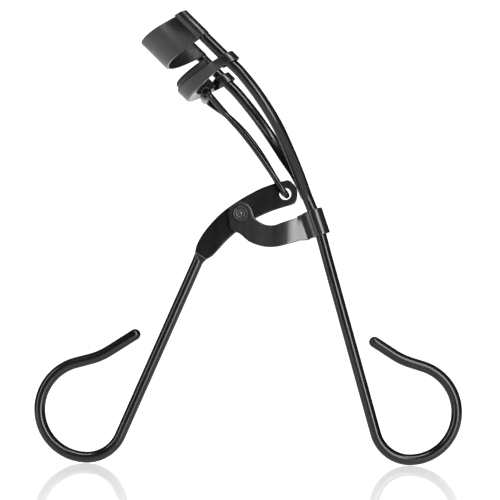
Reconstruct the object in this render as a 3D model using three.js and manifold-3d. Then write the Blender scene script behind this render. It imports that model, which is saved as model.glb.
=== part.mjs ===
// Eyelash curler: a scissor-action hand tool bent from round steel wire.
// Millimetres, +Z up towards the jaws, handles in the XZ plane, -Y is the side of the pivot bracket.
// The fixed handle is on the +X side and the moving lever on the -X side. The jaws stand open.
import * as THREE from 'three';
import { mergeVertices } from 'three/addons/utils/BufferGeometryUtils.js';
import Module from 'manifold-3d';

// ---- Driving dimensions ----
const WIRE_RADIUS = 1.3;          // handle and guide rod wire, 2.6 mm across
const LINK_RADIUS = 0.7;          // hairpin link wire, 1.4 mm across
const GAP = 0.3;                  // clearance between pieces that touch or slide
const WIRE_SIDES = 12;
const LINK_SIDES = 8;

// Finger loops: a heel bend, a big round bow, and a shallow reverse curve out to the open tip.
const HEEL_RADIUS = 8.2;
const BOW_RADIUS = 11;
const BOW_END_SLOPE = 15;         // degrees above level where the bow ends
const TIP_CURVE_RADIUS = 40;
const FIXED_TIP_CURVE = 18.5;     // degrees of reverse curve, fixed handle
const LEVER_TIP_CURVE = 20.5;     // degrees of reverse curve, lever

// Handle rods: upper end and lean from the vertical.
const FIXED_ROD_TOP = new THREE.Vector3(17.4, 0, 47.5);
const FIXED_ROD_LEAN = 15.9;
const LEVER_ROD_TOP = new THREE.Vector3(-13.3, 0, 45.6);
const LEVER_ROD_LEAN = 23.2;

// Guide rods: they leave the collar together, part sideways and run straight through the jaws.
const ROD_SPREAD = 13.75;         // from the middle plane to each rod's centre at the jaws
const COLLAR_CENTRE = new THREE.Vector3(14.9, 0, 56.2);
const COLLAR_LEAN = 19;
const COLLAR_LENGTH = 6.1;
const COLLAR_WALL = 0.6;
const FAR_ROD_FOOT = new THREE.Vector3(12.85, 2 * WIRE_RADIUS + GAP, 61.5);

// Head frame: at the foot of the upper jaw on the guide rod line, leaning back by HEAD_LEAN.
const HEAD_ORIGIN = new THREE.Vector3(-11.3, 0, 96);
const HEAD_LEAN = 46;
const STRAIGHT_BELOW = 10.3;      // length of straight guide rod below the head origin

// Jaws, in the head frame: x is out to the bulge, y is across the lashes, z is up the guide rods.
const JAW_ARC_RADIUS = 15;
const JAW_BULGE = 9.4;            // jaw centre line in front of the rod line, at the middle
const JAW_RISE = 0.18;            // how much the jaws climb per millimetre of bulge
const UPPER_SHEET = 0.9;
const UPPER_FOOT = 1.4;
const UPPER_HEIGHT = 7.4;
const UPPER_FLARE = 0.14;         // extra height per millimetre of bulge
const CRIMP_RADIUS = 1.65;
const TENON_RADIUS = 0.85;
const TENON_TOP = 8.2;
const PAD_HALF_WIDTH = 0.9;
const PAD_TOP = -3.3;
const PAD_FOOT = -6.8;
const PAD_END_ANGLE = 0.16;       // radians the pad stops short of the jaw's end
const CHANNEL_HALF_WIDTH = 1.65;
const CHANNEL_WALL = 0.45;
const CHANNEL_FOOT = -7.6;
const CHANNEL_TOP = -5.1;
const GROOVE_END_ANGLE = 1.45;    // radians, so the groove runs out through both ends
const EYELET_CENTRE = -6.45;
const EYELET_LENGTH = 2.8;
const EYELET_WALL = 0.6;
const KNUCKLE_RADIUS = 1.35;
const KNUCKLE_LENGTH = 9;
const KNUCKLE_OUT = 7.6;          // hinge of the link, out from the rod line
const KNUCKLE_UP = -7.2;          // hinge of the link, along the rods

// Lever plate: the flattened end of the lever wire, curving over the pivot to the link hole.
const PIVOT = new THREE.Vector3(-3.1, 0, 57.8);
const LINK_HOLE = new THREE.Vector3(7.4, 0, 62.7);
const LINK_HOLE_RADIUS = 1.4;
const PLATE_HALF_WIDTH = 2.6;
const PLATE_THICKNESS = 1.1;
const PLATE_EYE_RADIUS = 3.0;

// Pivot bracket: a strip in front of the lever plate, folded round the fixed rod.
const BRACKET_HALF_WIDTH = 2.65;
const BRACKET_THICKNESS = 1.0;
const BRACKET_MIDDLE_Y = -(PLATE_THICKNESS / 2 + GAP + BRACKET_THICKNESS / 2);
const RIVET_SHANK_RADIUS = 1.0;
const RIVET_HEAD_RADIUS = 1.75;
const RIVET_HEAD_HEIGHT = 0.7;

// Hairpin link.
const LINK_LEG_SPREAD = 5.7;      // half the distance between the legs at the jaw
const LINK_WAIST = 2.3;           // half the distance between the legs below their shoulders
const LINK_BOW = [0.95, 1.9];     // how far the near and the far leg bow towards the guide rods
const LINK_BEND_RADIUS = 1.6;     // the bend that passes through the lever's hole
const LINK_PIN_DEPTH = 1.7;       // how far each end reaches into the knuckle

// How far a cutter reaches past the face it opens, so that no skin is left.
const OVERCUT = 2;

const wasm = await Module();
wasm.setup();

const radians = THREE.MathUtils.degToRad;

// ---- Materials ----
const blackWire = new THREE.MeshStandardMaterial({ color: 0x101012, roughness: 0.22, metalness: 0.6 });
const blackSheet = new THREE.MeshStandardMaterial({ color: 0x202124, roughness: 0.35, metalness: 0.6 });
const rubber = new THREE.MeshStandardMaterial({ color: 0x0c0c0d, roughness: 0.45, metalness: 0 });

// ---- Solids ----
function toSolid(geometry) {
  const bare = geometry.clone();
  bare.deleteAttribute('normal');
  bare.deleteAttribute('uv');
  const merged = mergeVertices(bare, 1e-4);
  return new wasm.Manifold(new wasm.Mesh({
    numProp: 3,
    vertProperties: merged.attributes.position.array,
    triVerts: new Uint32Array(merged.index.array),
  }));
}

function toGeometry(solid) {
  const mesh = solid.getMesh();
  const geometry = new THREE.BufferGeometry();
  geometry.setAttribute('position', new THREE.BufferAttribute(mesh.vertProperties, 3));
  geometry.setIndex(new THREE.BufferAttribute(mesh.triVerts, 1));
  geometry.computeVertexNormals();
  return geometry;
}

// A round bar along a curve.
function bar(points, radius, sides, step) {
  const curve = new THREE.CatmullRomCurve3(points, false, 'centripetal');
  const section = new THREE.Shape();
  for (let i = 0; i < sides; i += 1) {
    const angle = (2 * Math.PI * i) / sides;
    const method = i === 0 ? 'moveTo' : 'lineTo';
    section[method](radius * Math.cos(angle), radius * Math.sin(angle));
  }
  return new THREE.ExtrudeGeometry(section, {
    extrudePath: curve,
    steps: Math.round(curve.getLength() / step),
    bevelEnabled: false,
  });
}

// A cylinder standing along Z, from one height to another, at x, y.
function post(radius, from, to, x = 0, y = 0, sides = 20) {
  const geometry = new THREE.CylinderGeometry(radius, radius, to - from, sides);
  geometry.rotateX(Math.PI / 2);
  geometry.translate(x, y, (from + to) / 2);
  return geometry;
}

// A cylinder lying along Y, from one depth to another, at x, z.
function crossPin(radius, from, to, x, z, sides = 24) {
  const geometry = new THREE.CylinderGeometry(radius, radius, to - from, sides);
  geometry.translate(x, (from + to) / 2, z);
  return geometry;
}

// ---- Wire paths in the XZ plane: straight runs and bends one after another ----
// heading is in degrees anticlockwise from +X, and a positive turn is anticlockwise.
function followRuns(start, heading, runs) {
  const points = [start.clone()];
  const place = start.clone();
  let angle = radians(heading);
  for (const { length, radius, turn } of runs) {
    if (length) {
      const count = Math.max(2, Math.round(length / 4));
      for (let i = 0; i < count; i += 1) {
        place.x += (length / count) * Math.cos(angle);
        place.z += (length / count) * Math.sin(angle);
        points.push(place.clone());
      }
    } else {
      const count = Math.max(2, Math.ceil(Math.abs(turn) / 12));
      const bit = radians(turn) / count;
      const chord = 2 * radius * Math.sin(Math.abs(bit) / 2);
      for (let i = 0; i < count; i += 1) {
        place.x += chord * Math.cos(angle + bit / 2);
        place.z += chord * Math.sin(angle + bit / 2);
        angle += bit;
        points.push(place.clone());
      }
    }
  }
  return points;
}

// A handle from its rod's upper end, down the rod and round the finger loop to the tip.
// side is +1 for a loop that bows to +X and -1 for one that bows to -X.
function handlePoints(rodTop, lean, side, tipCurve) {
  const heelTurn = 90 - lean;
  const heelStart = WIRE_RADIUS + HEEL_RADIUS * (1 - Math.cos(radians(heelTurn)));
  const rodLength = (rodTop.z - heelStart) / Math.cos(radians(lean));
  return followRuns(rodTop, 270 + side * lean, [
    { length: rodLength },
    { radius: HEEL_RADIUS, turn: side * heelTurn },
    { radius: BOW_RADIUS, turn: side * (180 - BOW_END_SLOPE) },
    { radius: TIP_CURVE_RADIUS, turn: -side * tipCurve },
  ]);
}

// ---- Head frame ----
const up = new THREE.Vector3(-Math.sin(radians(HEAD_LEAN)), 0, Math.cos(radians(HEAD_LEAN)));
const out = new THREE.Vector3(-Math.cos(radians(HEAD_LEAN)), 0, -Math.sin(radians(HEAD_LEAN)));
const headMatrix = new THREE.Matrix4()
  .makeBasis(out, new THREE.Vector3(0, -1, 0), up)
  .setPosition(HEAD_ORIGIN);

function headPoint(x, y, z) {
  return new THREE.Vector3(x, y, z).applyMatrix4(headMatrix);
}

// Points of one guide rod from the collar to the foot of the upper jaw. side is -1 near, +1 far.
function guidePoints(side) {
  const sweep = [
    new THREE.Vector3(10.5, side * 2.7, 66.7),
    new THREE.Vector3(7.4, side * 8.0, 72.5),
    new THREE.Vector3(4.5, side * 11.4, 77.6),
    new THREE.Vector3(0.4, side * 13.2, 83.6),
  ];
  const straight = [-STRAIGHT_BELOW, -7.5, -4.5, -1.5, UPPER_FOOT - GAP];
  return [...sweep, ...straight.map((z) => headPoint(0, -side * ROD_SPREAD, z))];
}

// The thin end of a guide rod that the upper jaw is crimped on.
function tenon(side) {
  return toSolid(post(TENON_RADIUS, UPPER_FOOT - 2 * GAP, TENON_TOP, 0, -side * ROD_SPREAD)
    .applyMatrix4(headMatrix));
}

// ---- Jaw strips: an arc band seen from above, then raised towards the bulge ----
const arcCentre = JAW_BULGE - JAW_ARC_RADIUS;
const arcHalfAngle = Math.asin(ROD_SPREAD / JAW_ARC_RADIUS);

function arcBand(halfWidth, from, to, halfAngle = arcHalfAngle, flare = 0) {
  const shape = new THREE.Shape();
  shape.absarc(arcCentre, 0, JAW_ARC_RADIUS + halfWidth, -halfAngle, halfAngle, false);
  shape.absarc(arcCentre, 0, JAW_ARC_RADIUS - halfWidth, halfAngle, -halfAngle, true);
  const geometry = new THREE.ExtrudeGeometry(shape, {
    depth: to - from, bevelEnabled: false, curveSegments: 18,
  });
  const position = geometry.attributes.position;
  for (let i = 0; i < position.count; i += 1) {
    const outward = position.getX(i);
    const share = position.getZ(i) / (to - from);
    position.setZ(i, from + position.getZ(i) + outward * (JAW_RISE + flare * share));
  }
  return geometry;
}

// A flat strip of even width along a curve in the XZ plane, with a round end at its start.
function flatStrip(points, halfWidth, thickness, middleY) {
  const curve = new THREE.CatmullRomCurve3(points, false, 'centripetal');
  const count = 24;
  const left = [];
  const right = [];
  for (let i = 0; i <= count; i += 1) {
    const place = curve.getPointAt(i / count);
    const along = curve.getTangentAt(i / count);
    left.push(new THREE.Vector2(place.x - along.z * halfWidth, place.z + along.x * halfWidth));
    right.push(new THREE.Vector2(place.x + along.z * halfWidth, place.z - along.x * halfWidth));
  }
  const geometry = new THREE.ExtrudeGeometry(new THREE.Shape([...right, ...left.reverse()]), {
    depth: thickness, bevelEnabled: false,
  });
  geometry.rotateX(Math.PI / 2);
  geometry.translate(0, middleY + thickness / 2, 0);
  return toSolid(geometry);
}

// ---- Pieces ----
// Right finger loop, fixed handle rod and the guide rod on the bracket's side, one bent wire.
function fixedHandle() {
  const loop = handlePoints(FIXED_ROD_TOP, FIXED_ROD_LEAN, 1, FIXED_TIP_CURVE).reverse();
  const collar = [COLLAR_CENTRE, new THREE.Vector3(12.4, -0.3, 62.3)];
  const wire = bar([...loop, ...collar, ...guidePoints(-1)], WIRE_RADIUS, WIRE_SIDES, 2);
  return toGeometry(toSolid(wire).add(tenon(-1)));
}

// The other guide rod, whose foot is brazed to the fixed handle above the collar.
function farGuideRod() {
  const wire = bar([FAR_ROD_FOOT, ...guidePoints(1)], WIRE_RADIUS, WIRE_SIDES, 2);
  return toGeometry(toSolid(wire).add(tenon(1)));
}

function upperJaw() {
  const crimpTop = UPPER_FOOT + UPPER_HEIGHT;
  let solid = toSolid(arcBand(UPPER_SHEET / 2, UPPER_FOOT, crimpTop, arcHalfAngle, UPPER_FLARE));
  for (const y of [-ROD_SPREAD, ROD_SPREAD]) {
    solid = solid.add(toSolid(post(CRIMP_RADIUS, UPPER_FOOT, crimpTop, 0, y)));
    solid = solid.subtract(toSolid(post(TENON_RADIUS + GAP, UPPER_FOOT - OVERCUT, TENON_TOP + GAP, 0, y)));
  }
  return toGeometry(solid).applyMatrix4(headMatrix);
}

// U-shaped channel with a rolled eyelet at each end and the link's knuckle under its middle.
function lowerJaw() {
  let solid = toSolid(arcBand(CHANNEL_HALF_WIDTH, CHANNEL_FOOT, CHANNEL_TOP));
  const groove = arcBand(CHANNEL_HALF_WIDTH - CHANNEL_WALL, PAD_FOOT - GAP, CHANNEL_TOP + OVERCUT, GROOVE_END_ANGLE);
  solid = solid.subtract(toSolid(groove));
  const knuckle = crossPin(KNUCKLE_RADIUS, -KNUCKLE_LENGTH / 2, KNUCKLE_LENGTH / 2, KNUCKLE_OUT, KNUCKLE_UP);
  const bore = crossPin(LINK_RADIUS + GAP, -KNUCKLE_LENGTH, KNUCKLE_LENGTH, KNUCKLE_OUT, KNUCKLE_UP);
  solid = solid.add(toSolid(knuckle)).subtract(toSolid(bore));
  for (const y of [-ROD_SPREAD, ROD_SPREAD]) {
    const from = EYELET_CENTRE - EYELET_LENGTH / 2;
    const to = EYELET_CENTRE + EYELET_LENGTH / 2;
    solid = solid.add(toSolid(post(WIRE_RADIUS + GAP + EYELET_WALL, from, to, 0, y, 24)));
    solid = solid.subtract(toSolid(post(WIRE_RADIUS + GAP, from - OVERCUT, to + OVERCUT, 0, y, 24)));
  }
  return toGeometry(solid).applyMatrix4(headMatrix);
}

function siliconePad() {
  const body = arcBand(PAD_HALF_WIDTH, PAD_FOOT, PAD_TOP, arcHalfAngle - PAD_END_ANGLE);
  return body.applyMatrix4(headMatrix);
}

// One wire: pinned in the knuckle at both ends and bent through the lever's hole.
// Each leg leaves its pin sideways, comes in at a shoulder and bows down to the hole.
function hairpinLink() {
  const pin = headPoint(KNUCKLE_OUT, 0, KNUCKLE_UP);
  const length = pin.distanceTo(LINK_HOLE);
  const down = LINK_HOLE.clone().sub(pin).normalize();
  const aside = new THREE.Vector3(-down.z, 0, down.x);
  const at = (y, below, bow = 0) => pin.clone()
    .addScaledVector(down, below).addScaledVector(aside, bow).setY(y);
  const inner = KNUCKLE_LENGTH / 2 - LINK_PIN_DEPTH;
  const bendOut = LINK_BEND_RADIUS * Math.SQRT1_2;
  const leg = (side) => {
    const bow = LINK_BOW[side < 0 ? 0 : 1];
    return [
      at(side * inner, 0),
      at(side * (KNUCKLE_LENGTH / 2), 0),
      at(side * (LINK_LEG_SPREAD - 0.3), 0.3, 0.05),
      at(side * LINK_LEG_SPREAD, 1.2, bow * 0.1),
      at(side * LINK_LEG_SPREAD * 0.8, 3.2, bow * 0.3),
      at(side * (LINK_WAIST + 0.4), 6.5, bow * 0.65),
      at(side * LINK_WAIST, 12, bow),
      at(side * (LINK_WAIST - 0.3), 18, bow * 0.9),
      at(side * LINK_BEND_RADIUS, length - 5, bow * 0.35),
      at(side * LINK_BEND_RADIUS, length - LINK_BEND_RADIUS),
      at(side * bendOut, length - LINK_BEND_RADIUS + bendOut),
    ];
  };
  return bar([...leg(-1), at(0, length), ...leg(1).reverse()], LINK_RADIUS, LINK_SIDES, 0.8);
}

function leverHandle() {
  const wire = toSolid(bar(
    handlePoints(LEVER_ROD_TOP, LEVER_ROD_LEAN, -1, LEVER_TIP_CURVE), WIRE_RADIUS, WIRE_SIDES, 2));
  const rodFoot = LEVER_ROD_TOP.clone().add(new THREE.Vector3(
    -Math.sin(radians(LEVER_ROD_LEAN)), 0, -Math.cos(radians(LEVER_ROD_LEAN))));
  const plate = flatStrip([
    LINK_HOLE,
    new THREE.Vector3(2.6, 0, 61.5),
    PIVOT,
    new THREE.Vector3(-8.4, 0, 52.8),
    rodFoot,
  ], PLATE_HALF_WIDTH, PLATE_THICKNESS, 0);
  const half = PLATE_THICKNESS / 2;
  const eye = toSolid(crossPin(PLATE_EYE_RADIUS, -half, half, LINK_HOLE.x, LINK_HOLE.z, 32));
  const hole = toSolid(crossPin(LINK_HOLE_RADIUS, -OVERCUT, OVERCUT, LINK_HOLE.x, LINK_HOLE.z));
  const pivotHole = toSolid(crossPin(RIVET_SHANK_RADIUS + GAP, -OVERCUT, OVERCUT, PIVOT.x, PIVOT.z));
  return toGeometry(plate.add(eye).add(wire).subtract(hole).subtract(pivotHole));
}

// Tongue and arm in front of the lever, with the collar that grips the fixed rod.
function pivotBracket() {
  const front = BRACKET_MIDDLE_Y - BRACKET_THICKNESS / 2;
  const back = BRACKET_MIDDLE_Y + BRACKET_THICKNESS / 2;
  const arm = flatStrip([
    PIVOT,
    new THREE.Vector3(0.4, 0, 54.6),
    new THREE.Vector3(4.7, 0, 52.7),
    new THREE.Vector3(8.8, 0, 53.9),
    new THREE.Vector3(COLLAR_CENTRE.x - 1, 0, COLLAR_CENTRE.z - 0.4),
  ], BRACKET_HALF_WIDTH, BRACKET_THICKNESS, BRACKET_MIDDLE_Y);
  const tongue = toSolid(crossPin(BRACKET_HALF_WIDTH + 0.1, front, back, PIVOT.x, PIVOT.z, 32));
  const place = (geometry) => toSolid(geometry
    .rotateY(radians(-COLLAR_LEAN))
    .translate(COLLAR_CENTRE.x, 0, COLLAR_CENTRE.z));
  const inner = WIRE_RADIUS + GAP;
  const collar = place(post(inner + COLLAR_WALL, -COLLAR_LENGTH / 2, COLLAR_LENGTH / 2));
  const bore = place(post(inner, -COLLAR_LENGTH, COLLAR_LENGTH));
  const hole = toSolid(crossPin(RIVET_SHANK_RADIUS + GAP, front - OVERCUT, back + OVERCUT, PIVOT.x, PIVOT.z));
  return toGeometry(arm.add(tongue).add(collar).subtract(bore).subtract(hole));
}

function pivotRivet() {
  const front = BRACKET_MIDDLE_Y - BRACKET_THICKNESS / 2 - GAP;
  const back = PLATE_THICKNESS / 2 + GAP;
  const pieces = [
    crossPin(RIVET_SHANK_RADIUS, front - RIVET_HEAD_HEIGHT / 2, back + RIVET_HEAD_HEIGHT / 2, PIVOT.x, PIVOT.z),
    crossPin(RIVET_HEAD_RADIUS, front - RIVET_HEAD_HEIGHT, front, PIVOT.x, PIVOT.z),
    crossPin(RIVET_HEAD_RADIUS, back, back + RIVET_HEAD_HEIGHT, PIVOT.x, PIVOT.z),
  ];
  return toGeometry(pieces.map(toSolid).reduce((sum, piece) => sum.add(piece)));
}

// ---- Assembly ----
const curler = new THREE.Group();
function addPiece(name, geometry, material) {
  const mesh = new THREE.Mesh(geometry, material);
  mesh.name = name;
  curler.add(mesh);
}

addPiece('fixed_handle', fixedHandle(), blackWire);
addPiece('far_guide_rod', farGuideRod(), blackWire);
addPiece('upper_jaw', upperJaw(), blackSheet);
addPiece('lower_jaw', lowerJaw(), blackSheet);
addPiece('silicone_pad', siliconePad(), rubber);
addPiece('hairpin_link', hairpinLink(), blackWire);
addPiece('lever_handle', leverHandle(), blackWire);
addPiece('pivot_bracket', pivotBracket(), blackSheet);
addPiece('pivot_rivet', pivotRivet(), blackWire);

export default curler;
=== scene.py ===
# %% [markdown]
# # An eyelash curler, bent from black coated wire
#
# The curler is nine pieces: a fixed handle and a lever, both bent from 2.6 mm steel wire, a second
# guide rod, two curved jaws, a silicone pad, a hairpin link, a bracket and a rivet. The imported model
# already holds their places, sizes and joints. This lesson rebuilds each one as a smooth, finished
# surface in exactly the same place, so that every piece still moves with its own body.

# %% Load the frame
import math

import bmesh
import bpy
from mathutils import Matrix, Vector


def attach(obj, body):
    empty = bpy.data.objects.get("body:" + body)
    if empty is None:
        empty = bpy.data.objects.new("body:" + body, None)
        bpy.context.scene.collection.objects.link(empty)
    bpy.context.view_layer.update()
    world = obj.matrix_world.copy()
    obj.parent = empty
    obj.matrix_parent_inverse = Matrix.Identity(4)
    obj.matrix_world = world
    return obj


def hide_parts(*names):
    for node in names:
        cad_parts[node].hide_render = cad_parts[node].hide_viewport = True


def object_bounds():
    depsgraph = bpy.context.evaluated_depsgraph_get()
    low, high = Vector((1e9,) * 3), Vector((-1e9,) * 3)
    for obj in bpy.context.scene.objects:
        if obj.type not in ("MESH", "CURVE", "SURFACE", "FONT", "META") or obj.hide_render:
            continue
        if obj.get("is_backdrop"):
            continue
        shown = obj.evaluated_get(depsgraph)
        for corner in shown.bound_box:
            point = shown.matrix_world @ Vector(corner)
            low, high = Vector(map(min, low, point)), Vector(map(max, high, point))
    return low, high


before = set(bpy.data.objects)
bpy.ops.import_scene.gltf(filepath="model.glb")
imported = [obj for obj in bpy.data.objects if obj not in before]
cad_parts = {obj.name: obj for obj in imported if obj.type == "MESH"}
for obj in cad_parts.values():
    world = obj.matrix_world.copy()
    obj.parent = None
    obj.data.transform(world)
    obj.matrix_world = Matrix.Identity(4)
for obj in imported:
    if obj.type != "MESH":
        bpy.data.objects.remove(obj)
cad_low, cad_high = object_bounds()
MM = 0.001
scene = bpy.context.scene

# %% [markdown]
# ## Camera
#
# The tool is seen by a close camera that stands low, only a little above the table, and looks
# slightly up. That is why the far ends of the jaws appear lower than the near ends. A camera is
# aimed by turning its -Z axis at the target, and a small roll about that axis levels the picture.

# %% Place the camera
CAMERA_PLACE = Vector((-17.0, -390.0, 22.0)) * MM
CAMERA_TARGET = Vector((-0.7, 0.0, 49.5)) * MM
CAMERA_ROLL = math.radians(0.6)
CAMERA_LENS = 121.1

camera_data = bpy.data.cameras.new("studio_camera")
camera_data.lens = CAMERA_LENS
camera_data.sensor_width = 36.0
camera_data.clip_start = 0.01
camera_data.clip_end = 20.0
camera = bpy.data.objects.new("studio_camera", camera_data)
scene.collection.objects.link(camera)
aim = (CAMERA_TARGET - CAMERA_PLACE).to_track_quat("-Z", "Y").to_matrix()
camera.matrix_world = Matrix.Translation(CAMERA_PLACE) @ (aim @ Matrix.Rotation(CAMERA_ROLL, 3, "Z")).to_4x4()
scene.camera = camera
scene.view_settings.view_transform = "Standard"
print("camera stands", round((CAMERA_TARGET - CAMERA_PLACE).length / MM), "mm from the tool")

# %% [markdown]
# ## Floor and light
#
# Glossy black shows nothing but what it reflects, so its look is made by what stands round it. Soft
# panels at the left, at the right and above draw long highlights down the wires, and a small one
# picks out the forged edge of the lever. The floor is pale and faintly glossy. It gives the mirror
# image under the loops and the even grey of the satin jaws. Floor and wall are only as large as the
# view needs, so the wires see dark on both sides of them, and their outlines stay crisp.

# %% Floor and backdrop


def new_object(name, data):
    made = bpy.data.objects.new(name, data)
    scene.collection.objects.link(made)
    return made


def make_paper(name, line, half_width):
    """A strip of paper, given by its side view as (y, z) points, curved or flat."""
    shape = bmesh.new()
    rows = [[shape.verts.new((x, y, z)) for y, z in line] for x in (-half_width, half_width)]
    for i in range(len(line) - 1):
        shape.faces.new((rows[0][i], rows[1][i], rows[1][i + 1], rows[0][i + 1])).smooth = True
    mesh = bpy.data.meshes.new(name)
    shape.to_mesh(mesh)
    shape.free()
    sheet = new_object(name, mesh)
    sheet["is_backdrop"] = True
    return sheet


def paper_finish(name, glow, shine):
    """glow is the light the paper gives off by itself, shine how much it mirrors."""
    paper = bpy.data.materials.new(name)
    paper.use_nodes = True
    shader = paper.node_tree.nodes["Principled BSDF"]
    shader.inputs["Base Color"].default_value = (0.8, 0.8, 0.8, 1)
    shader.inputs["Roughness"].default_value = 0.05
    shader.inputs["Specular IOR Level"].default_value = shine
    shader.inputs["Emission Color"].default_value = (1, 1, 1, 1)
    shader.inputs["Emission Strength"].default_value = glow
    return paper


FLOOR_FRONT, FLOOR_BACK, FLOOR_HALF = -0.18, 1.2, 0.35
SWEEP_RADIUS, SWEEP_STEPS = 0.8, 12
WALL_TOP, WALL_HALF = 0.95, 0.45

# The wall bends up from the floor's back edge through a quarter circle, then goes straight up.
sweep = []
for i in range(SWEEP_STEPS + 1):
    angle = math.radians(90 * i / SWEEP_STEPS)
    sweep.append((FLOOR_BACK + SWEEP_RADIUS * math.sin(angle), SWEEP_RADIUS * (1 - math.cos(angle))))
floor = make_paper("floor", [(FLOOR_FRONT, 0.0), (FLOOR_BACK, 0.0)], FLOOR_HALF)
wall = make_paper("backdrop", sweep + [(FLOOR_BACK + SWEEP_RADIUS, WALL_TOP)], WALL_HALF)
floor.data.materials.append(paper_finish("floor_paper", glow=0.42, shine=0.5))
wall.data.materials.append(paper_finish("backdrop_paper", glow=1.0, shine=0.0))
print("floor", len(floor.data.polygons), "faces, backdrop", len(wall.data.polygons), "faces")

# %% Studio lights

LIT_PLACE = Vector((0, 0, 0.05))
DARK_STUDIO, WHITE_BEHIND = 0.05, 1.0


def soft_panel(name, place, size, power):
    """A rectangle of light turned to face the middle of the tool, in metres and watts."""
    data = bpy.data.lights.new(name, "AREA")
    data.shape = "RECTANGLE"
    data.size, data.size_y = size
    data.energy = power
    panel = new_object(name, data)
    panel.location = place
    panel.rotation_euler = (LIT_PLACE - Vector(place)).to_track_quat("-Z", "Y").to_euler()


soft_panel("right_front_panel", (0.38, -0.78, 0.10), (0.34, 0.66), 9.0)
soft_panel("left_front_panel", (-0.80, -0.48, 0.12), (0.17, 1.5), 8.5)
soft_panel("top_panel", (0.05, -0.50, 0.95), (0.6, 0.26), 7.5)
soft_panel("edge_panel", (0.31, -0.70, 0.56), (0.26, 0.14), 2.6)

# The studio is dark to the tool, but the camera sees white beyond the edges of the paper.
world = bpy.data.worlds.new("studio_world")
world.use_nodes = True
sky = world.node_tree.nodes["Background"]
sky.inputs["Color"].default_value = (1, 1, 1, 1)
seen = world.node_tree.nodes.new("ShaderNodeLightPath").outputs["Is Camera Ray"]
level = world.node_tree.nodes.new("ShaderNodeMapRange")
level.inputs["To Min"].default_value = DARK_STUDIO
level.inputs["To Max"].default_value = WHITE_BEHIND
world.node_tree.links.new(seen, level.inputs["Value"])
world.node_tree.links.new(level.outputs["Result"], sky.inputs["Strength"])
scene.world = world

# %% [markdown]
# ## Finishes
#
# The steel is dipped in a black coating. On wire it flows out glossy; on the pressed sheet it stays
# a little more matt. Up close it is not one flat colour: the film is thinner in places, has a faint
# orange-peel ripple, dust specks and hair-fine handling scratches. All of that is a few noise
# textures on Object coordinates, measured in metres, so the detail keeps its real size on all pieces.

# %% A helper for procedural finishes


class Finish:
    """A material made node by node, with the Object coordinates ready to use."""

    def __init__(self, name):
        self.material = bpy.data.materials.new(name)
        self.material.use_nodes = True
        self.nodes = self.material.node_tree.nodes
        self.links = self.material.node_tree.links
        self.shader = self.nodes["Principled BSDF"]
        self.place = self.nodes.new("ShaderNodeTexCoord").outputs["Object"]

    def link(self, source, target):
        self.links.new(source, target)

    def stretched(self, scale):
        node = self.nodes.new("ShaderNodeMapping")
        node.inputs["Scale"].default_value = scale
        self.link(self.place, node.inputs["Vector"])
        return node.outputs["Vector"]

    def noise(self, scale, detail=3.0, roughness=0.5, vector=None):
        node = self.nodes.new("ShaderNodeTexNoise")
        node.inputs["Scale"].default_value = scale
        node.inputs["Detail"].default_value = detail
        node.inputs["Roughness"].default_value = roughness
        self.link(vector or self.place, node.inputs["Vector"])
        return node.outputs["Fac"]

    def spread(self, value, low, high, out_low=0.0, out_high=1.0):
        node = self.nodes.new("ShaderNodeMapRange")
        for name, number in zip(("From Min", "From Max", "To Min", "To Max"), (low, high, out_low, out_high)):
            node.inputs[name].default_value = number
        self.link(value, node.inputs["Value"])
        return node.outputs["Result"]

    def math(self, operation, first, second):
        node = self.nodes.new("ShaderNodeMath")
        node.operation = operation
        for socket, value in zip(node.inputs, (first, second)):
            if isinstance(value, (int, float)):
                socket.default_value = value
            else:
                self.link(value, socket)
        return node.outputs[0]

    def blend(self, amount, first, second):
        node = self.nodes.new("ShaderNodeMix")
        node.data_type = "RGBA"
        self.link(amount, node.inputs["Factor"])
        for name, value in (("A", first), ("B", second)):
            socket = [s for s in node.inputs if s.name == name and s.type == "RGBA"][0]
            if isinstance(value, tuple):
                socket.default_value = (*value, 1)
            else:
                self.link(value, socket)
        return [s for s in node.outputs if s.type == "RGBA"][0]

    def bump(self, height, strength, distance, normal=None):
        node = self.nodes.new("ShaderNodeBump")
        node.inputs["Strength"].default_value = strength
        node.inputs["Distance"].default_value = distance
        self.link(height, node.inputs["Height"])
        if normal is not None:
            self.link(normal, node.inputs["Normal"])
        return node.outputs["Normal"]


print("finish helper ready")

# %% The black coating on wire and on sheet

# How many of each feature fit in a metre, and the colour of the dust.
CLOUDS, DUST_SPECKS, SCRATCHES, SMUDGES, ORANGE_PEEL, GRAIN = 180, 2600, 900, 95, 700, 6000
ALONG_THE_PIECE = (1.0, 1.0, 0.06)
DUST = (0.06, 0.06, 0.062)


def black_coating(name, film, thin_film, gloss, ripple, index):
    """film and thin_film are the colours of full and thin coating, gloss is its roughness."""
    finish = Finish(name)
    cloud = finish.spread(finish.noise(CLOUDS, 4, 0.6), 0.35, 0.7)
    specks = finish.spread(finish.noise(DUST_SPECKS, 2, 0.5), 0.72, 0.80)
    colour = finish.blend(cloud, film, thin_film)
    colour = finish.blend(finish.math("MULTIPLY", specks, 0.2), colour, DUST)
    finish.link(colour, finish.shader.inputs["Base Color"])
    scratches = finish.noise(SCRATCHES, 6, 0.7, finish.stretched(ALONG_THE_PIECE))
    smudge = finish.spread(finish.noise(SMUDGES, 3, 0.55), 0.3, 0.75, 0.0, 0.10)
    rough = finish.math("ADD", finish.spread(scratches, 0.35, 0.7, gloss, gloss + 0.07), smudge)
    finish.link(rough, finish.shader.inputs["Roughness"])
    peel = finish.bump(finish.noise(ORANGE_PEEL, 2, 0.5), ripple, 0.00002)
    fine = finish.bump(finish.noise(GRAIN, 2, 0.6), ripple * 0.15, 0.000004, peel)
    finish.link(fine, finish.shader.inputs["Normal"])
    finish.shader.inputs["Metallic"].default_value = 0.0
    finish.shader.inputs["IOR"].default_value = index
    return finish.material


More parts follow.
